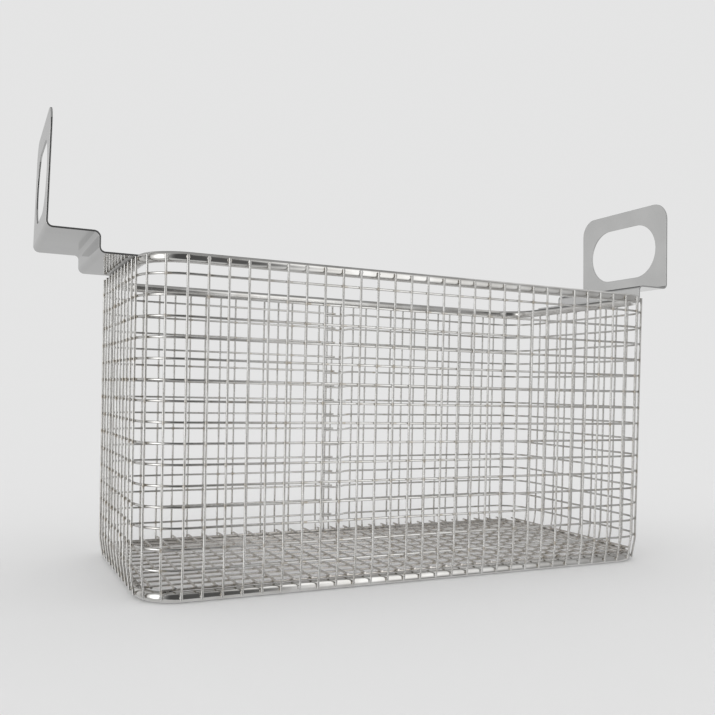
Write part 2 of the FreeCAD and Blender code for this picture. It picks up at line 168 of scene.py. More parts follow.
class Signal:
    """An output socket, with the arithmetic that joins it to numbers and other sockets."""

    def __init__(self, graph, socket):
        self.graph = graph
        self.socket = socket

    def other(self, name):
        """Another output of the same node."""
        return Signal(self.graph, self.socket.node.outputs[name])

    def __add__(self, value):
        return self.graph.math("ADD", self, value)

    def __radd__(self, value):
        return self.graph.math("ADD", value, self)

    def __sub__(self, value):
        return self.graph.math("SUBTRACT", self, value)

    def __rsub__(self, value):
        return self.graph.math("SUBTRACT", value, self)

    def __mul__(self, value):
        return self.graph.math("MULTIPLY", self, value)

    def __rmul__(self, value):
        return self.graph.math("MULTIPLY", value, self)

    def __truediv__(self, value):
        return self.graph.math("DIVIDE", self, value)

    def __rtruediv__(self, value):
        return self.graph.math("DIVIDE", value, self)

    def __abs__(self):
        return self.graph.math("ABSOLUTE", self)

    def fraction(self):
        """The part after the decimal point."""
        return self.graph.math("FRACT", self)

    def within(self, low, high):
        """This value taken from low..high to 0..1, smoothly, and held outside."""
        return self.graph.add(
            "ShaderNodeMapRange",
            {"interpolation_type": "SMOOTHSTEP"},
            {"Value": self, "From Min": low, "From Max": high},
        )


class Graph:
    """Adds nodes to one tree and joins them."""

    def __init__(self, tree):
        self.tree = tree
        tree.nodes.clear()

    def feed(self, socket, value):
        """Link a signal to a socket, or set the socket's own value."""
        if isinstance(value, Signal):
            self.tree.links.new(value.socket, socket)
        elif value is not None:
            socket.default_value = value

    def add(self, kind, settings=None, inputs=None, output=0):
        """One node: its settings first, then its sockets. Gives one of its outputs."""
        node = self.tree.nodes.new(kind)
        for name, value in (settings or {}).items():
            if name == "stops":
                self.set_stops(node.color_ramp, value)
            else:
                setattr(node, name, value)
        for key, value in (inputs or {}).items():
            self.feed(node.inputs[key], value)
        if not len(node.outputs):
            return node
        return Signal(self, node.outputs[output])

    def set_stops(self, ramp, stops):
        """A ramp's stops as pairs of place and colour."""
        while len(ramp.elements) < len(stops):
            ramp.elements.new(1.0)
        for element, (place, colour) in zip(ramp.elements, stops):
            element.position = place
            element.color = colour

    def math(self, operation, *values):
        """Arithmetic on numbers."""
        return self.add("ShaderNodeMath", {"operation": operation}, dict(enumerate(values)))

    def vector(self, operation, *values):
        """Arithmetic on vectors."""
        return self.add("ShaderNodeVectorMath", {"operation": operation}, dict(enumerate(values)))

    def scaled(self, vector, factor):
        """A vector times a number."""
        return self.add("ShaderNodeVectorMath", {"operation": "SCALE"}, {0: vector, "Scale": factor})

    def blend(self, factor, first, second):
        """A colour between two colours."""
        return self.add("ShaderNodeMix", {"data_type": "RGBA"}, {0: factor, 6: first, 7: second}, 2)

    def xyz(self, x=0.0, y=0.0, z=0.0):
        """A vector from three numbers."""
        return self.add("ShaderNodeCombineXYZ", None, {"X": x, "Y": y, "Z": z})

    def height(self, place):
        """A place's height."""
        return self.add("ShaderNodeSeparateXYZ", None, {0: place}, "Z")

    def noise(self, place, scale, detail, seed):
        """Solid noise at a place, about 0.5."""
        return self.add(
            "ShaderNodeTexNoise",
            {"noise_dimensions": "4D"},
            {"Vector": place, "W": seed, "Scale": scale, "Detail": detail},
        )


# What the trees of the hoops and the welds take to wander with the mesh.
STRAYING = ("Stray", "Stray wave", "Fade low", "Fade high")


def geometry_graph(name, lengths, counts):
    """A geometry tree with named lengths, counts and a material. Gives its graph and its inputs."""
    tree = bpy.data.node_groups.new(name, "GeometryNodeTree")
    tree.interface.new_socket("Geometry", in_out="INPUT", socket_type="NodeSocketGeometry")
    tree.interface.new_socket("Geometry", in_out="OUTPUT", socket_type="NodeSocketGeometry")
    kinds = [(label, "NodeSocketFloat") for label in lengths]
    kinds += [(label, "NodeSocketInt") for label in counts]
    kinds.append(("Material", "NodeSocketMaterial"))
    for label, kind in kinds:
        tree.interface.new_socket(label, in_out="INPUT", socket_type=kind)
    graph = Graph(tree)
    return graph, graph.add("NodeGroupInput").other


def kept_value(graph, name, kind):
    """A value kept on each of the host's points."""
    return graph.add("GeometryNodeInputNamedAttribute", {"data_type": kind}, {"Name": name})


def moved(graph, geometry, offset):
    """Geometry moved by an offset."""
    return graph.add("GeometryNodeSetPosition", None, {"Geometry": geometry, "Offset": offset})


def stepped(graph, curve, step):
    """A curve in even steps."""
    return graph.add("GeometryNodeResampleCurve", {"mode": "LENGTH"}, {"Curve": curve, "Length": step})


def stood(graph, points, curve, **turned):
    """A real copy of a curve on each point."""
    sockets = {"Points": points, "Instance": curve, **turned}
    copies = graph.add("GeometryNodeInstanceOnPoints", None, sockets)
    return graph.add("GeometryNodeRealizeInstances", None, {"Geometry": copies})


def handmade(graph, given, geometry, low="Fade low", high="Fade high"):
    """Let a welded mesh wander from its drawing, not at all at the two rims and fully between."""
    place = graph.add("GeometryNodeInputPosition")
    height = graph.height(place)
    clear = graph.math("MINIMUM", height - given(low), given(high) - height)
    strength = clear.within(0.0, STRAY_FADE) * given("Stray")
    noise = graph.noise(place, scale=1.0 / given("Stray wave"), detail=1.0, seed=4.7)
    centred = graph.vector("SUBTRACT", noise.other("Color"), (0.5, 0.5, 0.5))
    return moved(graph, geometry, graph.scaled(centred, strength))


def kept_inside(graph, geometry, reach_x, reach_y):
    """Hold the wires' centre lines inside the basket's own width and length."""
    place = graph.add("GeometryNodeInputPosition")
    low = graph.vector("MAXIMUM", place, (-reach_x, -reach_y, 0.0))
    high = graph.vector("MINIMUM", low, (reach_x, reach_y, 1.0))
    return graph.add("GeometryNodeSetPosition", None, {"Geometry": geometry, "Position": high})


def closed(graph, given, geometry):
    """End a tree with smooth faces, no instances left, and its material. Gives the tree."""
    smooth = graph.add("GeometryNodeSetShadeSmooth", None, {"Geometry": geometry})
    real = graph.add("GeometryNodeRealizeInstances", None, {"Geometry": smooth})
    sockets = {"Geometry": real, "Material": given("Material")}
    graph.add("NodeGroupOutput", None, {0: graph.add("GeometryNodeSetMaterial", None, sockets)})
    return graph.tree


def drawn_wire(graph, given, curve, first_weld=0.0):
    """End a tree with a round wire along a curve. The finish gets the way from its first weld."""
    along = graph.add("GeometryNodeSplineParameter", None, None, "Length")
    marked = graph.add(
        "GeometryNodeStoreNamedAttribute",
        {"data_type": "FLOAT", "domain": "POINT"},
        {"Geometry": curve, "Name": "along", "Value": along - first_weld},
    )
    section = graph.add(
        "GeometryNodeCurvePrimitiveCircle",
        None,
        {"Resolution": given("Sides"), "Radius": given("Diameter") * 0.5},
    )
    wire = graph.add(
        "GeometryNodeCurveToMesh", None, {"Curve": marked, "Profile Curve": section, "Fill Caps": True}
    )
    return closed(graph, given, wire)


def upright_tree(sizes):
    """Uprights that stand on the host's points and lean in at the foot along the point's outward."""
    lengths = ("Diameter", "Foot", "Lean start", "Top", "Lean", "Step", "Stray", "Stray wave", "First weld")
    graph, given = geometry_graph("wall_uprights", lengths, ("Sides",))
    foot = graph.xyz(z=given("Foot"))
    top = graph.xyz(z=given("Top"))
    line = graph.add("GeometryNodeCurvePrimitiveLine", None, {"Start": foot, "End": top})
    wires = stood(graph, given("Geometry"), stepped(graph, line, given("Step")))
    height = graph.height(graph.add("GeometryNodeInputPosition"))
    start = given("Lean start")
    depth = graph.math("MAXIMUM", (start - height) / (start - given("Foot")), 0.0)
    lean = graph.scaled(kept_value(graph, "outward", "FLOAT_VECTOR"), depth * given("Lean") * -1.0)
    bent = handmade(graph, given, moved(graph, wires, lean), low="Lean start", high="Top")
    held = kept_inside(graph, bent, sizes.upright_reach_x, sizes.upright_reach_y)
    return drawn_wire(graph, given, held, given("First weld"))


def hoop_tree():
    """Copies of the host's one bent wire, one above the other."""
    lengths = ("Diameter", "Lowest", "Pitch", "Step", *STRAYING, "First weld")
    graph, given = geometry_graph("wall_hoops", lengths, ("Hoops", "Sides"))
    line = graph.add("GeometryNodeMeshToCurve", None, {"Mesh": given("Geometry")})
    lowest = graph.xyz(z=given("Lowest"))
    rise = graph.xyz(z=given("Pitch"))
    heights = graph.add(
        "GeometryNodeMeshLine",
        {"mode": "OFFSET"},
        {"Count": given("Hoops"), "Start Location": lowest, "Offset": rise},
    )
    wires = stood(graph, heights, stepped(graph, line, given("Step")))
    return drawn_wire(graph, given, handmade(graph, given, wires), given("First weld"))


def floor_tree():
    """Straight wires, one centred on each of the host's points, half_run long each way."""
    lengths = ("Diameter", "Turn", "Step", "Weld from middle")
    graph, given = geometry_graph("floor_wires", lengths, ("Sides",))
    line = graph.add(
        "GeometryNodeCurvePrimitiveLine", None, {"Start": (-1.0, 0.0, 0.0), "End": (1.0, 0.0, 0.0)}
    )
    scale = graph.xyz(kept_value(graph, "half_run", "FLOAT"), 1.0, 1.0)
    turn = graph.xyz(z=given("Turn"))
    wires = stood(graph, given("Geometry"), line, Rotation=turn, Scale=scale)
    middle = graph.add("GeometryNodeSplineLength", None, None, "Length") * 0.5
    first_weld = middle + given("Weld from middle")
    return drawn_wire(graph, given, stepped(graph, wires, given("Step")), first_weld)


def rod_tree():
    """A rod along the host's closed line."""
    graph, given = geometry_graph("rim_rod", ("Diameter",), ("Sides",))
    line = graph.add("GeometryNodeMeshToCurve", None, {"Mesh": given("Geometry")})
    return drawn_wire(graph, given, line)


def uneven(graph, seed):
    """A random size for each point, as a part of the width asked for."""
    low, high = NUGGET_SIZES
    return graph.add("FunctionNodeRandomValue", {"data_type": "FLOAT"}, {2: low, 3: high, "Seed": seed}, 1)


def weld_tree():
    """A flat nugget on each of the host's points, square to the point's outward."""
    graph, given = geometry_graph("weld_nuggets", ("Width", "Thickness", *STRAYING), ("Seed",))
    spots = handmade(graph, given, given("Geometry"))
    ball = graph.add("GeometryNodeMeshIcoSphere", None, {"Radius": 0.5, "Subdivisions": 2})
    outward = kept_value(graph, "outward", "FLOAT_VECTOR")
    turned = graph.add("FunctionNodeAlignRotationToVector", {"axis": "Z"}, {"Vector": outward})
    size_x = uneven(graph, given("Seed")) * given("Width")
    size_y = uneven(graph, given("Seed") + NEXT_SEED) * given("Width")
    scale = graph.xyz(size_x, size_y, given("Thickness"))
    nuggets = graph.add(
        "GeometryNodeInstanceOnPoints",
        None,
        {"Points": spots, "Instance": ball, "Rotation": turned, "Scale": scale},
    )
    return closed(graph, given, nuggets)


# Mesh helpers


def host_mesh(name, points, edges=(), vectors=None, numbers=None):
    """A mesh of points or lines for a geometry tree to work from."""
    mesh = bpy.data.meshes.new(name)
    mesh.from_pydata([tuple(p) for p in points], list(edges), [])
    for label, values in (vectors or {}).items():
        attribute = mesh.attributes.new(label, "FLOAT_VECTOR", "POINT")
        attribute.data.foreach_set("vector", [c for v in values for c in v])
    for label, values in (numbers or {}).items():
        attribute = mesh.attributes.new(label, "FLOAT", "POINT")
        attribute.data.foreach_set("value", list(values))
    return mesh


def spots_mesh(name, spots):
    """A host mesh of places, each with its outward direction."""
    places, outwards = zip(*spots)
    return host_mesh(name, places, vectors={"outward": outwards})


def evaluated_mesh(piece):
    """The plain mesh that a piece's modifiers give."""
    bpy.context.view_layer.update()
    evaluated = piece.evaluated_get(bpy.context.evaluated_depsgraph_get())
    return bpy.data.meshes.new_from_object(evaluated)


def grow(name, host, tree, values):
    """Run a geometry tree on a host mesh and keep the plain mesh that it gives."""
    source = bpy.data.objects.new(f"{name}_host", host)
    bpy.context.scene.collection.objects.link(source)
    modifier = source.modifiers.new("grow", "NODES")
    modifier.node_group = tree
    identifiers = {socket.name: socket.identifier for socket in tree.interface.items_tree}
    for label, value in values.items():
        modifier[identifiers[label]] = value
    mesh = evaluated_mesh(source)
    bpy.data.objects.remove(source)
    mesh.name = name
    if not mesh.polygons:
        raise RuntimeError(f"{name} came out empty")
    return add_piece(name, mesh)


def add_piece(name, mesh):
    """A new object at the origin for a finished mesh."""
    piece = bpy.data.objects.new(name, mesh)
    bpy.context.scene.collection.objects.link(piece)
    return piece


def settle(piece, slot, *nodes):
    """Hang a piece on the body that it rides on, and hide the nodes that it stands for. The slot is not
    used.
    """
    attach(piece, BODY)
    if nodes:
        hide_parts(*nodes)


# The wall line


def corner_middles(sizes):
    """How far the corners' middles lie from the basket's, along it and across it."""
    return sizes.wall_length / 2 - sizes.corner_radius, sizes.wall_width / 2 - sizes.corner_radius


def wall_run(sizes):
    """The wall line from the seam round by the left, the front and the right.

    Each stretch has its start or its corner's middle, the way it faces, its length and whether it
    is a corner.
    """
    inner_x, inner_y = corner_middles(sizes)
    quarter = sizes.corner_radius * math.pi / 2
    return (
        (Vector((sizes.seam_place, inner_y, 0)), 90, inner_x + sizes.seam_place, False),
        (Vector((-inner_x, inner_y, 0)), 90, quarter, True),
        (Vector((-inner_x, inner_y, 0)), 180, 2 * inner_y, False),
        (Vector((-inner_x, -inner_y, 0)), 180, quarter, True),
        (Vector((-inner_x, -inner_y, 0)), 270, 2 * inner_x, False),
        (Vector((inner_x, -inner_y, 0)), 270, quarter, True),
        (Vector((inner_x, -inner_y, 0)), 0, 2 * inner_y, False),
        (Vector((inner_x, inner_y, 0)), 0, quarter, True),
        (Vector((inner_x, inner_y, 0)), 90, inner_x - sizes.seam_place, False),
    )


def wall_point(sizes, travel, offset=0.0):
    """The place and the outward direction at a way along the wall, offset outwards from its line."""
    stretches = wall_run(sizes)
    start, turn, length, corner = stretches[0]
    for following in stretches[1:]:
        if travel <= length:
            break
        travel -= length
        start, turn, length, corner = following
    angle = math.radians(turn)
    if corner:
        angle += travel / sizes.corner_radius
        travel = 0.0
    outward = Vector((math.cos(angle), math.sin(angle), 0))
    ahead = UP.cross(outward)
    return start + ahead * travel + outward * (sizes.corner_radius + offset), outward


def upright_travels(sizes):
    """The way along the wall of each upright."""
    return [index * sizes.mesh_pitch for index in range(sizes.upright_count)]


def hoop_heights(sizes):
    """The height of each hoop."""
    return [sizes.first_hoop + index * sizes.mesh_pitch for index in range(sizes.hoop_count)]


def ring_points(sizes, inset, height, corner_steps=28):
    """A closed rounded line, inset from the wall line."""
    inner_x, inner_y = corner_middles(sizes)
    radius = sizes.corner_radius - inset
    points = []
    for side_x, side_y, turn in ((1, -1, -90), (1, 1, 0), (-1, 1, 90), (-1, -1, 180)):
        for step in range(corner_steps + 1):
            angle = math.radians(turn + 90 * step / corner_steps)
            x = side_x * inner_x + radius * math.cos(angle)
            y = side_y * inner_y + radius * math.sin(angle)
            points.append(Vector((x, y, height)))
    return points


def closed_edges(count):
    """The edges of a closed line of points."""
    return [(index, (index + 1) % count) for index in range(count)]


def open_edges(count):
    """The edges of an open line of points."""
    return [(index, index + 1) for index in range(count - 1)]


# Finishes


def opaque(colour):
    """A colour's three parts as the four that a socket takes."""
    return (*colour, 1.0)


def blank_material(name):
    """A material with no nodes yet. Gives the material and its graph."""
    material = bpy.data.materials.new(name)
    material.use_nodes = True
    return material, Graph(material.node_tree)


def new_finish(name):
    """A metal's material. Gives the material, its graph and its shader's inputs."""
    material, graph = blank_material(name)
    shader = graph.add("ShaderNodeBsdfPrincipled", None, {"Metallic": 1.0})
    graph.add("ShaderNodeOutputMaterial", None, {"Surface": shader})
    return material, graph, shader.socket.node.inputs


def steel_finish(name, bright, dull, rough, scratch, tinted):
    """Bare stainless steel: cloudy tone, uneven polish, fine scratches and heat tint at the welds."""
    material, graph, inputs = new_finish(name)
    place = graph.add("ShaderNodeTexCoord", None, None, "Object")
    cloud = graph.noise(place, scale=90.0, detail=3.0, seed=1.3)
    fine = graph.noise(place, scale=2600.0, detail=3.0, seed=7.9)
    colour = graph.blend(cloud.within(0.36, 0.64), bright, dull)
    if tinted:
        tint = opaque(bpy.context.scene.basket_look.heat_tint)
        pitch = bpy.context.scene.basket_sizes.mesh_pitch
        along = graph.add("ShaderNodeAttribute", {"attribute_name": "along"}, None, "Fac")
        from_weld = abs((along / pitch + 0.5).fraction() - 0.5)
        patches = graph.noise(place, scale=210.0, detail=1.0, seed=3.1).within(0.4, 0.75)
        colour = graph.blend((1.0 - from_weld.within(*HEAT_REACH)) * patches, colour, tint)
    graph.feed(inputs["Base Color"], colour)
    low, high = rough
    graph.feed(inputs["Roughness"], low + (high - low) * (0.6 * cloud + 0.4 * fine))
    bump = graph.add("ShaderNodeBump", None, {"Strength": scratch, "Distance": 0.00004, "Height": fine})
    graph.feed(inputs["Normal"], bump)
    return material


def sheet_finish(name, bright, dull):
    """Satin sheet: a fine grain along the strip, a soft cloud and a slightly uneven polish."""
    material, graph, inputs = new_finish(name)
    place = graph.add("ShaderNodeTexCoord", None, None, "Object")
    cloud = graph.noise(place, scale=45.0, detail=3.0, seed=2.2)
    across = graph.vector("MULTIPLY", place, (0.06, 1.0, 0.06))
    grain = graph.noise(across, scale=5200.0, detail=2.0, seed=5.5)
    specks = graph.noise(place, scale=900.0, detail=2.0, seed=8.1)
    colour = graph.blend((0.75 * cloud + 0.25 * grain).within(0.35, 0.65), bright, dull)
    graph.feed(inputs["Base Color"], colour)
    graph.feed(inputs["Roughness"], 0.05 + 0.05 * cloud + 0.03 * grain)
    relief = 0.7 * grain + 0.3 * specks
    bump = graph.add("ShaderNodeBump", None, {"Strength": 0.012, "Distance": 0.00003, "Height": relief})
    graph.feed(inputs["Normal"], bump)
    return material


def finish_of(name):
    """One of the basket's finishes, made the first time that it is asked for."""
    if name in bpy.data.materials:
        return bpy.data.materials[name]
    look = bpy.context.scene.basket_look
    if name == "satin_sheet_steel":
        return sheet_finish(name, opaque(look.sheet_bright), opaque(look.sheet_dull))
    bright, dull, rough, scratch, tinted = STEELS[name]
    tones = opaque(getattr(look, bright)), opaque(getattr(look, dull))
    return steel_finish(name, *tones, rough, scratch, tinted)


# Settings


def metres(name, description, default, low=0.0, high=1.0):
    """A length that a user may change."""
    return bpy.props.FloatProperty(
        name=name,
        description=description,
        default=default,
        min=low,
        max=high,
        precision=5,
        unit="LENGTH",
        subtype="DISTANCE",
    )


def number(name, description, default, low=2, high=200):
    """A count that a user may change."""
    return bpy.props.IntProperty(
        name=name, description=description, default=default, min=low, max=high
    )


def paint(name, description, default):
    """A colour that a user may change."""
    return bpy.props.FloatVectorProperty(
        name=name, description=description, default=default, min=0.0, max=1.0, size=3, subtype="COLOR"
    )


class BasketSizes(bpy.types.PropertyGroup):
    """The basket's measures, those of its frame."""

    wall_length: metres("Wall length", "Length of the basket where uprights and hoops touch", 0.252)
    wall_width: metres("Wall width", "Width of the basket where uprights and hoops touch", 0.1135)
    corner_radius: metres("Corner radius", "Radius of the four corners", 0.0175)
    mesh_pitch: metres("Mesh pitch", "Distance from one wire to the next", 0.008)
    wire_diameter: metres("Wire", "Diameter of the mesh wire", 0.001)
    wire_offset: metres("Wire offset", "From the wall's line to a wire's centre line", 0.00045)
    first_hoop: metres("Lowest hoop", "Height of the lowest hoop", 0.0127)
    foot_height: metres("Foot height", "Height of the uprights' lower ends", 0.0013)
    lean_start: metres("Lean start", "Height where the uprights start to lean in", 0.0109)
    foot_lean: metres("Foot lean", "How far the uprights' feet lie inside the wall", 0.0014)
    upright_top: metres("Upright top", "Height of the uprights' upper ends", 0.1318)
    seam_place: metres("Seam place", "Where the mesh strip starts at the rear", -0.0005, low=-1.0)
    seam_stub: metres("Seam stub", "How far the hoops' ends stand past the last upright", 0.0015)
    rod_diameter: metres("Rod", "Diameter of the rim rods", 0.0042)
    top_rod_height: metres("Top rod height", "Height of the upper rod's centre", 0.131)
    top_rod_inset: metres("Top rod inset", "From the wall's line to the upper rod's centre", 0.0021)
    bottom_rod_inset: metres("Bottom rod inset", "From the wall's line to the lower rod's centre", 0.00349)
    floor_margin: metres("Floor margin", "From the lower rod's outside in to the floor wires' ends", 0.0006)
    stray: metres("Stray", "How far the welded wires wander from their drawing", 0.00032)
    stray_wave: metres("Stray wave", "Length over which the wires wander", 0.06)
    upright_reach_x: metres("Upright reach X", "How far from the middle an upright may stand", 0.12645)
    upright_reach_y: metres("Upright reach Y", "How far from the middle an upright may stand", 0.05720)
    upright_count: number("Uprights", "Uprights on the strip", 89)
    hoop_count: number("Hoops", "Horizontal wires of the wall", 15)
    floor_long: number("Long floor wires", "Wires along the floor", 14)
    floor_cross: number("Cross floor wires", "Wires across the floor", 31)
    wire_sides: number("Wire sides", "Faces round a wire", 12, low=6, high=24)
    rod_sides: number("Rod sides", "Faces round a rod", 40, low=12, high=64)


class BasketLook(bpy.types.PropertyGroup):
    """The basket's colours and those of the studio."""

    steel_bright: paint("Steel, bright", "Polished stainless steel", (0.66, 0.655, 0.64))
    steel_dull: paint("Steel, dull", "The same where its polish is cloudy", (0.56, 0.55, 0.53))
    # The uprights' tones are the hoops' steel painted lighter. This is painted light for the side light
    # that the uprights catch.
    upright_bright_painted_lighter: paint("Upright, bright", "Steel of the wall's outer wires", (0.73, 0.725, 0.71))
    upright_dull_painted_lighter: paint("Upright, dull", "The same where its polish is cloudy", (0.64, 0.63, 0.61))
    floor_bright: paint("Floor wire, bright", "Steel of the floor's wires", (0.66, 0.638, 0.61))
    floor_dull: paint("Floor wire, dull", "The same where its polish is cloudy", (0.58, 0.553, 0.52))
    heat_tint: paint("Heat tint", "Steel beside a weld", (0.47, 0.43, 0.37))
    sheet_bright: paint("Sheet, bright", "Satin sheet", (0.585, 0.585, 0.58))
    sheet_dull: paint("Sheet, dull", "The same where it is duller", (0.54, 0.54, 0.535))
    backdrop: paint("Backdrop", "Floor and background", (0.78, 0.78, 0.78))


# Operators


class BASKET_OT_uprights(bpy.types.Operator):
    """Make the wall's uprights"""

    bl_idname = "basket.uprights"
    bl_label = "Wall uprights"

    def execute(self, context):
        sizes = context.scene.basket_sizes
        spots = [wall_point(sizes, travel, sizes.wire_offset) for travel in upright_travels(sizes)]
        piece = grow(
            "wall_uprights",
            spots_mesh("upright_feet", spots),
            upright_tree(sizes),
            {
                "Diameter": sizes.wire_diameter,
                "Foot": sizes.foot_height,
                "Lean start": sizes.lean_start,
                "Top": sizes.upright_top,
                "Lean": sizes.foot_lean,
                "Step": sizes.mesh_pitch / 4,
                "Stray": sizes.stray,
                "Stray wave": sizes.stray_wave,
                "First weld": sizes.first_hoop - sizes.foot_height,
                "Sides": sizes.wire_sides,
                "Material": finish_of("upright_steel_painted_lighter"),
            },
        )
        settle(piece, "wall_wire", *[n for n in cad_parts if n.endswith("_uprights")])
        return {"FINISHED"}


class BASKET_OT_hoops(bpy.types.Operator):
    """Make the wall's horizontal wires, lapped at the rear"""

    bl_idname = "basket.hoops"
    bl_label = "Wall hoops"

    def execute(self, context):
        sizes = context.scene.basket_sizes
        pitch = sizes.mesh_pitch
        strip = (sizes.upright_count - 1) * pitch
        wire_end = strip + sizes.seam_stub
        drop = sizes.wire_diameter * LAP_DROP
        start = Vector((sizes.seam_place + sizes.seam_stub, sizes.wall_width / 2 - sizes.wire_offset, 0))
        points = [start]
        steps = int(wire_end / MM)
        for index in range(1, steps + 1):
            travel = wire_end * index / steps
            place, _ = wall_point(sizes, travel, -sizes.wire_offset)
            sunk = min(max((travel - (wire_end - 2 * pitch)) / pitch, 0.0), 1.0)
            place.z = -drop * sunk * sunk * (3 - 2 * sunk)
            points.append(place)
        piece = grow(
            "wall_hoops",
            host_mesh("hoop_line", points, open_edges(len(points))),
            hoop_tree(),
            {
                "Diameter": sizes.wire_diameter,
                "Lowest": sizes.first_hoop,
                "Pitch": pitch,
                "Step": pitch / 4,
                "Stray": sizes.stray,
                "Stray wave": sizes.stray_wave,
                "Fade low": sizes.lean_start,
                "Fade high": sizes.upright_top,
                "First weld": sizes.seam_stub,
                "Hoops": sizes.hoop_count,
                "Sides": sizes.wire_sides - HOOP_FACES_LESS,
                "Material": finish_of("hoop_steel"),
            },
        )
        settle(piece, "wall_wire", *[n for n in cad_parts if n.startswith("wall_hoop_")])
        return {"FINISHED"}


class BASKET_OT_rims(bpy.types.Operator):
    """Make the two polished rim rods"""

    bl_idname = "basket.rims"
    bl_label = "Rim rods"

    def execute(self, context):
        sizes = context.scene.basket_sizes
        tree = rod_tree()
        radius = sizes.rod_diameter / 2
        for node, inset, height in (
            ("bottom_rim_rod", sizes.bottom_rod_inset, radius),
            ("top_rim_rod", sizes.top_rod_inset, sizes.top_rod_height),
        ):
            points = ring_points(sizes, inset, height)
            piece = grow(
                f"{node}_round",
                host_mesh(f"{node}_line", points, closed_edges(len(points))),
                tree,
                {
                    "Diameter": sizes.rod_diameter,
                    "Sides": sizes.rod_sides,
                    "Material": finish_of("polished_rod_steel"),
                },
            )
            settle(piece, "polished_rod", node)
        return {"FINISHED"}


def floor_layers(sizes):
    """The radius of the floor panel's corners, and the panel's two layers of wires.

    Each layer has its node, its count, its height, its turn, and how far the corners' middles lie
    along and across its wires.
    """
    radius = sizes.corner_radius - sizes.bottom_rod_inset + sizes.rod_diameter / 2 - sizes.floor_margin
    inner_x, inner_y = corner_middles(sizes)
    first = sizes.rod_diameter + LONG_WIRE_BED * sizes.wire_diameter / 2
    second = first + CROSS_WIRE_BED * sizes.wire_diameter
    return radius, (
        ("floor_long_wires", sizes.floor_long, first, 0.0, inner_x, inner_y),
        ("floor_cross_wires", sizes.floor_cross, second, math.pi / 2, inner_y, inner_x),
    )


class BASKET_OT_floor(bpy.types.Operator):
    """Make the floor panel's two layers of wires"""

    bl_idname = "basket.floor_panel"
    bl_label = "Floor wires"

    def execute(self, context):
        sizes = context.scene.basket_sizes
        tree = floor_tree()
        radius, layers = floor_layers(sizes)
        for node, count, height, turn, inner_along, inner_across in layers:
            points = []
            runs = []
            for index in range(count):
                across = (index - (count - 1) / 2) * sizes.mesh_pitch
                past = max(abs(across) - inner_across, 0.0)
                runs.append(inner_along + math.sqrt(radius * radius - past * past))
                points.append((0.0, across, height) if turn == 0.0 else (across, 0.0, height))
            piece = grow(
                f"{node}_round",
                host_mesh(f"{node}_middles", points, numbers={"half_run": runs}),
                tree,
                {
                    "Diameter": sizes.wire_diameter,
                    "Turn": turn,
                    "Step": sizes.mesh_pitch / 2,
                    "Weld from middle": 0.0 if turn == 0.0 else sizes.mesh_pitch / 2,
                    "Sides": sizes.wire_sides,
                    "Material": finish_of("floor_wire_steel"),
                },
            )
            settle(piece, "floor_wire", node)
        return {"FINISHED"}


class BASKET_OT_welds(bpy.types.Operator):
    """Make the weld nuggets where wires cross wires and rods"""

    bl_idname = "basket.welds"
    bl_label = "Welds"

    def execute(self, context):
        sizes = context.scene.basket_sizes
        tree = weld_tree()
        wall = [
            (place + UP * height, outward)
            for place, outward in (wall_point(sizes, t) for t in upright_travels(sizes))
            for height in hoop_heights(sizes)
        ]
        self.grow_welds("wall_welds", wall, tree, width=1.3, thickness=0.55, seed=1, stray=sizes.stray)
        rims = []
        lean_slope = sizes.foot_lean / (sizes.lean_start - sizes.foot_height)
        low = sizes.rod_diameter / 2
        for travel in upright_travels(sizes):
            place, outward = wall_point(sizes, travel)
            rims.append((place + UP * sizes.top_rod_height, outward))
            place, outward = wall_point(sizes, travel, -(sizes.lean_start - low) * lean_slope)
            rims.append((place + UP * low, outward))
        self.grow_welds("rim_welds", rims, tree, width=1.7, thickness=0.6, seed=2)
        floor = self.floor_spots(sizes)
        self.grow_welds("floor_welds", floor, tree, width=1.3, thickness=0.5, seed=3)
        return {"FINISHED"}

    def floor_spots(self, sizes):
        """Where the floor's wires cross each other, and where their ends lie on the rod."""
        radius, layers = floor_layers(sizes)
        (_, long_count, first, _, inner_x, inner_y), (_, cross_count, second, _, _, _) = layers
        pitch = sizes.mesh_pitch
        level = (first + second) / 2
        rod_line = sizes.corner_radius - sizes.bottom_rod_inset
        spots = []
        for row in range(long_count):
            y = (row - (long_count - 1) / 2) * pitch
            past_y = max(abs(y) - inner_y, 0.0)
            for column in range(cross_count):
                x = (column - (cross_count - 1) / 2) * pitch
                past_x = max(abs(x) - inner_x, 0.0)
                if math.hypot(past_x, past_y) < radius:
                    spots.append((Vector((x, y, level)), UP))
            reach = inner_x + math.sqrt(rod_line * rod_line - past_y * past_y)
            for side in (-1, 1):
                spots.append((Vector((side * reach, y, sizes.rod_diameter)), UP))
        return spots

    def grow_welds(self, name, spots, tree, width, thickness, seed, stray=0.0):
        """One piece of weld nuggets. Width and thickness are in wire diameters."""
        sizes = bpy.context.scene.basket_sizes
        piece = grow(
            name,
            spots_mesh(f"{name}_spots", spots),
            tree,
            {
                "Width": width * sizes.wire_diameter,
                "Thickness": thickness * sizes.wire_diameter,
                "Stray": stray,
                "Stray wave": sizes.stray_wave,
                "Fade low": sizes.lean_start,
                "Fade high": sizes.upright_top,
                "Seed": seed,
                "Material": finish_of("weld_steel"),
            },
        )
        settle(piece, "floor_wire" if name == "floor_welds" else "wall_wire")


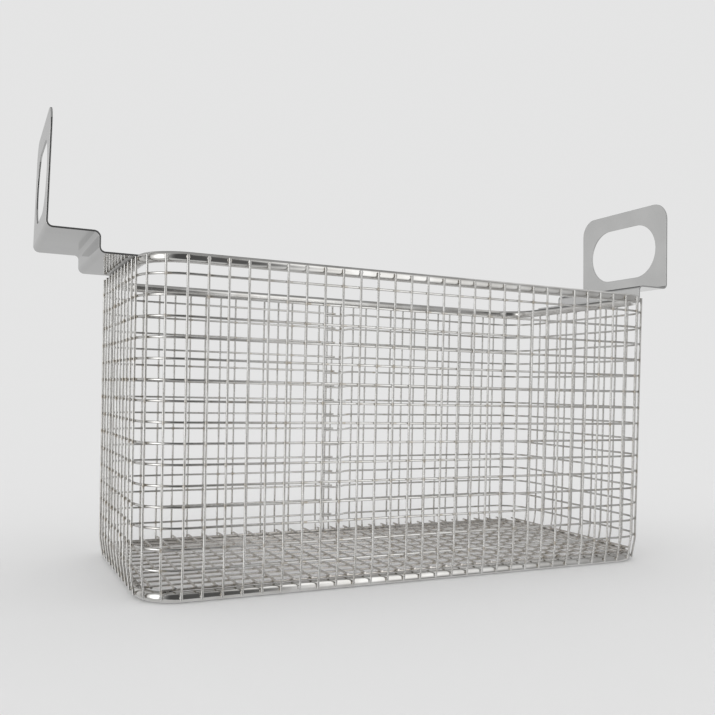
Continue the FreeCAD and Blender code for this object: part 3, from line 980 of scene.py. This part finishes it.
class BASKET_OT_handles(bpy.types.Operator):
    """Make the two stepped sheet handles with broken edges"""

    bl_idname = "basket.handles"
    bl_label = "Handles"

    edge_break: metres("Edge break", "Rounding of the sheet's edges", 0.00016)

    def execute(self, context):
        for node in ("right_handle", "left_handle"):
            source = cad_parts[node]
            work = bmesh.new()
            work.from_mesh(source.data)
            bmesh.ops.remove_doubles(work, verts=work.verts, dist=1e-6)
            bmesh.ops.dissolve_limit(
                work, angle_limit=math.radians(FLAT_TURN), verts=work.verts, edges=work.edges
            )
            turn = math.radians(EDGE_TURN)
            sharp = [e for e in work.edges if len(e.link_faces) == 2 and e.calc_face_angle() > turn]
            bmesh.ops.bevel(
                work,
                geom=sharp,
                offset=self.edge_break,
                offset_type="OFFSET",
                segments=2,
                profile=0.5,
                affect="EDGES",
                clamp_overlap=True,
            )
            for face in work.faces:
                face.smooth = True
            mesh = bpy.data.meshes.new(f"{node}_sheet")
            work.to_mesh(mesh)
            work.free()
            mesh.set_sharp_from_angle(angle=math.radians(SHADING_TURN))
            mesh.materials.clear()
            mesh.materials.append(finish_of("satin_sheet_steel"))
            piece = add_piece(f"{node}_sheet", mesh)
            self.flatten_faces(piece)
            settle(piece, "satin_sheet", node)
        return {"FINISHED"}

    def flatten_faces(self, piece):
        """Shade the sheet's flat faces truly flat, with all the turning left to its broken edges."""
        modifier = piece.modifiers.new("flat_faces", "WEIGHTED_NORMAL")
        modifier.mode = "FACE_AREA_WITH_ANGLE"
        modifier.keep_sharp = True
        mesh = evaluated_mesh(piece)
        piece.modifiers.clear()
        mesh.name = piece.name
        piece.data = mesh


class BASKET_OT_studio(bpy.types.Operator):
    """Make the floor, the world, the panels that the steel mirrors, and the camera"""

    bl_idname = "basket.studio"
    bl_label = "Studio"

    def execute(self, context):
        self.make_floor(context)
        self.make_world(context)
        self.make_panels()
        self.make_camera(context)
        return {"FINISHED"}

    def make_floor(self, context):
        """A wide pale floor in the background's tone."""
        mesh = bpy.data.meshes.new("studio_floor")
        count = 96
        reach = 30.0
        ring = [
            (reach * math.cos(2 * math.pi * i / count), reach * math.sin(2 * math.pi * i / count), 0.0)
            for i in range(count)
        ]
        mesh.from_pydata(ring, [], [list(range(count))])
        floor = add_piece("studio_floor", mesh)
        floor.visible_glossy = False
        material, graph = blank_material("studio_floor_pale")
        look = context.scene.basket_look
        diffuse = graph.add("ShaderNodeBsdfDiffuse", None, {"Color": opaque(look.backdrop)})
        graph.add("ShaderNodeOutputMaterial", None, {"Surface": diffuse})
        mesh.materials.append(material)

    def make_world(self, context):
        """Even light from all round, and the plain background."""
        world = bpy.data.worlds.new("studio_world")
        context.scene.world = world
        world.use_nodes = True
        graph = Graph(world.node_tree)
        look = context.scene.basket_look
        path = graph.add("ShaderNodeLightPath", None, None, "Is Camera Ray")
        seen = graph.math("MAXIMUM", path, path.other("Is Glossy Ray"))
        seen = graph.math("MAXIMUM", seen, path.other("Is Transmission Ray"))
        white = (1.0, 1.0, 1.0, 1.0)
        light = graph.add("ShaderNodeBackground", None, {"Color": white, "Strength": 1.0})
        shown = graph.add("ShaderNodeBackground", None, {"Color": opaque(look.backdrop), "Strength": 1.0})
        mixed = graph.add("ShaderNodeMixShader", None, {0: seen, 1: light, 2: shown})
        graph.add("ShaderNodeOutputWorld", None, {"Surface": mixed})

    def make_panels(self):
        """The soft lights and the cards round the basket, above it and below it."""
        for name, ((start, end), heights, stops) in PANELS.items():
            low, high = heights[0], heights[-1]
            corners = ((*start, low), (*start, high), (*end, high), (*end, low))
            self.make_panel(name, corners, stops, heights)
        for name, (level, reach, glow) in FLAT_CARDS.items():
            corners = [(x * reach, y * reach, level) for x, y in ((-1, -1), (-1, 1), (1, 1), (1, -1))]
            self.make_panel(name, corners, ((0.0, glow), (1.0, glow)))

    def make_panel(self, name, corners, stops, heights=None):
        """A flat panel that only the steel mirrors, its glow changing from its first side to its last."""
        start, _, _, end = (Vector(corner) for corner in corners)
        mesh = bpy.data.meshes.new(name)
        mesh.from_pydata([tuple(corner) for corner in corners], [], [(0, 1, 2, 3)])
        panel = add_piece(name, mesh)
        panel.visible_camera = False
        panel.visible_diffuse = False
        panel.visible_shadow = False
        material, graph = blank_material(f"{name}_surface")
        run = end - start
        place = graph.add("ShaderNodeTexCoord", None, None, "Object")
        from_start = graph.vector("SUBTRACT", place, tuple(start))
        across = graph.add(
            "ShaderNodeVectorMath",
            {"operation": "DOT_PRODUCT"},
            {0: from_start, 1: tuple(run / run.length_squared)},
            "Value",
        )
        brightest = max(glow for _, glow in stops)
        tone = graph.add(
            "ShaderNodeValToRGB",
            {"stops": [(spot, opaque([glow / brightest] * 3)) for spot, glow in stops]},
            {"Fac": across},
        )
        if heights and heights[0] < heights[1]:
            low, full_from, full_to, high = heights
            height = graph.height(place)
            lit = height.within(low, full_from) * (1.0 - height.within(full_to, high))
            tone = graph.scaled(tone, EDGE_GLOW + (1.0 - EDGE_GLOW) * lit)
        light = graph.add("ShaderNodeEmission", None, {"Color": tone, "Strength": brightest})
        graph.add("ShaderNodeOutputMaterial", None, {"Surface": light})
        mesh.materials.append(material)

    def make_camera(self, context):
        """The camera where the photograph was taken from."""
        yaw = math.radians(CAMERA_YAW)
        pitch = math.radians(CAMERA_PITCH)
        roll = math.radians(CAMERA_ROLL)
        ahead = Vector((math.sin(yaw) * math.cos(pitch), math.cos(yaw) * math.cos(pitch), math.sin(pitch)))
        level = Vector((math.cos(yaw), -math.sin(yaw), 0.0))
        over = level.cross(ahead)
        right = math.cos(roll) * level + math.sin(roll) * over
        above = -math.sin(roll) * level + math.cos(roll) * over
        data = bpy.data.cameras.new("photo_camera")
        data.sensor_width = 36.0
        data.lens = CAMERA_LENS
        data.shift_x, data.shift_y = CAMERA_SHIFT
        data.clip_start = 0.01
        data.clip_end = 100.0
        camera = bpy.data.objects.new("photo_camera", data)
        turn = Matrix((right, above, -ahead)).transposed().to_4x4()
        camera.matrix_world = Matrix.Translation(CAMERA_PLACE) @ turn
        context.scene.collection.objects.link(camera)
        context.scene.camera = camera


class BASKET_PT_panel(bpy.types.Panel):
    """The basket's operators, sizes and colours"""

    bl_label = "Basket"
    bl_idname = "BASKET_PT_panel"
    bl_space_type = "VIEW_3D"
    bl_region_type = "UI"
    bl_category = "Basket"

    def draw(self, context):
        for operator in OPERATORS:
            self.layout.operator(operator.bl_idname)
        for group in (context.scene.basket_sizes, context.scene.basket_look):
            box = self.layout.box()
            for name in group.bl_rna.properties.keys():
                if name not in ("rna_type", "name"):
                    box.prop(group, name)


OPERATORS = (
    BASKET_OT_rims,
    BASKET_OT_uprights,
    BASKET_OT_hoops,
    BASKET_OT_floor,
    BASKET_OT_welds,
    BASKET_OT_handles,
    BASKET_OT_studio,
)
CLASSES = (BasketSizes, BasketLook, *OPERATORS, BASKET_PT_panel)


def register():
    """Register the classes and hang their settings on the scene."""
    for item in CLASSES:
        bpy.utils.register_class(item)
    bpy.types.Scene.basket_sizes = bpy.props.PointerProperty(type=BasketSizes)
    bpy.types.Scene.basket_look = bpy.props.PointerProperty(type=BasketLook)


def unregister():
    """Take the settings and the classes away again."""
    del bpy.types.Scene.basket_look
    del bpy.types.Scene.basket_sizes
    for item in reversed(CLASSES):
        bpy.utils.unregister_class(item)


def main():
    """Dress the basket."""
    register()
    bpy.context.scene.view_settings.view_transform = "Standard"
    bpy.ops.basket.rims()
    bpy.ops.basket.uprights()
    bpy.ops.basket.hoops()
    bpy.ops.basket.floor_panel()
    bpy.ops.basket.welds()
    bpy.ops.basket.handles()
    bpy.ops.basket.studio()


if __name__ == "__main__":
    main()
